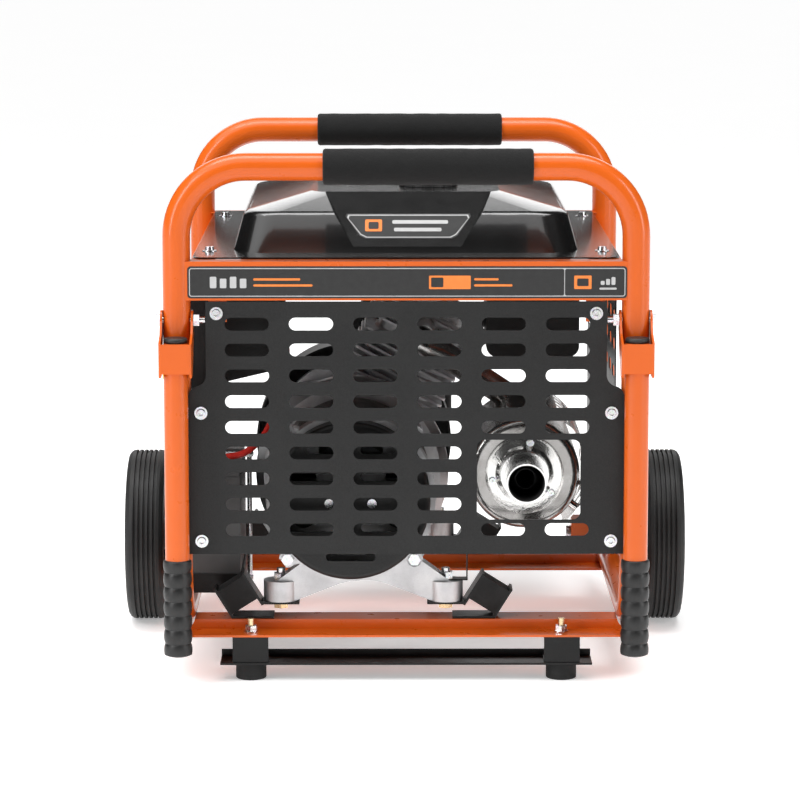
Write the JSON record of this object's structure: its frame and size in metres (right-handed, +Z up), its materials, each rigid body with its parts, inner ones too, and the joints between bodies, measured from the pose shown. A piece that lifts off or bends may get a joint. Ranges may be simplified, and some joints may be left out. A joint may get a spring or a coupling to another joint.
{
  "type": "portable generator",
  "caption": "Open-frame petrol generator on two wheels and two feet, with a tube frame, fold-out handles, slotted end grille and side socket box.",
  "frame": {"origin": "on the floor, at the middle of the overall box", "axes": "+Z up; -Y is the exhaust end with the slotted grille and folding handles, +Y the recoil-starter end, -X the socket side"},
  "size_m": [0.697, 0.6704, 0.625],
  "materials": {
    "orange_paint": "gloss orange powder coat",
    "black_paint": "satin black powder coat",
    "gloss_black_paint": "gloss black enamel",
    "foam_rubber": "closed-cell foam",
    "grip_rubber": "ribbed moulded rubber",
    "lead_rubber": "red and black cable sheath",
    "foot_rubber": "moulded rubber",
    "tyre_rubber": "grooved solid tyre",
    "zinc_steel": "zinc plated",
    "wheel_disc": "satin black",
    "battery_case": "dark grey moulded case",
    "cast_alloy": "sand-cast, bead blasted",
    "lamination_steel": "stacked laminations",
    "polished_steel": "polished stainless",
    "shaft_steel": "ground steel",
    "black_plastic": "grained moulding",
    "lid_plastic": "blue moulding",
    "yellow_plastic": "yellow moulding"
  },
  "bodies": {
    "frame": {"front_hoop": "orange_paint", "rear_hoop": "orange_paint", "base_rails": "orange_paint", "foam_sleeves": "foam_rubber", "cross_members": "orange_paint", "front_band": "orange_paint", "rear_band": "orange_paint", "upper_rails": "orange_paint", "grille_panel": "black_paint", "side_guard": "black_paint", "panel_screws": "zinc_steel", "rubber_feet": "foot_rubber", "foot_bar": "black_paint", "battery_leads": "lead_rubber", "foot_bolts": "zinc_steel", "axle_brackets": "orange_paint", "wheel_axles": "zinc_steel", "pivot_bolts": "zinc_steel", "battery_tray": "orange_paint", "battery": "battery_case", "battery_clamp": "black_paint", "alternator_end_bracket": "cast_alloy", "alternator_cover": "black_plastic", "stator": "lamination_steel", "crankcase": "cast_alloy", "cylinder": "cast_alloy", "cylinder_head": "cast_alloy", "rocker_cover": "black_paint", "blower_housing": "black_paint", "recoil_cover": "black_paint", "recoil_grip": "black_plastic", "rubber_mounts": "foot_rubber", "mount_brackets": "black_paint", "machine_bolts": "zinc_steel", "muffler": "polished_steel", "exhaust_outlet": "polished_steel", "muffler_shield": "polished_steel", "carburettor": "cast_alloy", "air_cleaner": "black_plastic", "fuel_tank": "gloss_black_paint", "control_box": "black_plastic", "socket_plate_fittings": "black_plastic", "switch_bushes": "black_plastic"},
    "crank": {"crankshaft": "shaft_steel", "rotor": "lamination_steel", "alternator_fan": "cast_alloy", "flywheel": "cast_alloy"},
    "wheel_left": {"tyre_left": "tyre_rubber", "hub_left": "wheel_disc"},
    "wheel_right": {"tyre_right": "tyre_rubber", "hub_right": "wheel_disc"},
    "left_handle": {"handle_left": "orange_paint", "grip_left": "grip_rubber"},
    "right_handle": {"handle_right": "orange_paint", "grip_right": "grip_rubber"},
    "cap": {"fuel_cap": "black_plastic"},
    "lid_1": {"socket_lid_1": "lid_plastic"},
    "lid_2": {"socket_lid_2": "lid_plastic"},
    "button": {"breaker_button": "yellow_plastic"},
    "key": {"ignition_key": "black_plastic"}
  },
  "joints": [
    {"name": "crank_spin", "type": "hinge", "parent": "frame", "child": "crank", "pos_m": [-0.065, 0, 0.211], "axis": [0, 1, 0], "continuous": true},
    {"name": "wheel_left_spin", "type": "hinge", "parent": "frame", "child": "wheel_left", "pos_m": [-0.3245, 0.07925, 0.1072], "axis": [1, 0, 0], "continuous": true},
    {"name": "wheel_right_spin", "type": "hinge", "parent": "frame", "child": "wheel_right", "pos_m": [0.3245, 0.07925, 0.1072], "axis": [1, 0, 0], "continuous": true},
    {"name": "left_handle_fold", "type": "hinge", "parent": "frame", "child": "left_handle", "pos_m": [-0.265, -0.28575, 0.427], "axis": [-1, 0, 0], "range_deg": [0, 90]},
    {"name": "right_handle_fold", "type": "hinge", "parent": "frame", "child": "right_handle", "pos_m": [0.265, -0.28575, 0.427], "axis": [-1, 0, 0], "range_deg": [0, 90]},
    {"name": "fuel_cap_turn", "type": "hinge", "parent": "frame", "child": "cap", "pos_m": [0.028, -0.03575, 0.561], "axis": [0, 0, 1], "range_deg": [0, 90]},
    {"name": "lid_1_hinge", "type": "hinge", "parent": "frame", "child": "lid_1", "pos_m": [-0.277, -0.08975, 0.418], "axis": [0, 1, 0], "range_deg": [0, 110]},
    {"name": "lid_2_hinge", "type": "hinge", "parent": "frame", "child": "lid_2", "pos_m": [-0.277, -0.01375, 0.418], "axis": [0, 1, 0], "range_deg": [0, 110]},
    {"name": "breaker_press", "type": "slide", "parent": "frame", "child": "button", "axis": [1, 0, 0], "range_m": [0, 0.004], "stiffness_N_per_m": 400},
    {"name": "key_turn", "type": "hinge", "parent": "frame", "child": "key", "pos_m": [-0.262, 0.08425, 0.3915], "axis": [-1, 0, 0], "range_deg": [0, 90]}
  ]
}
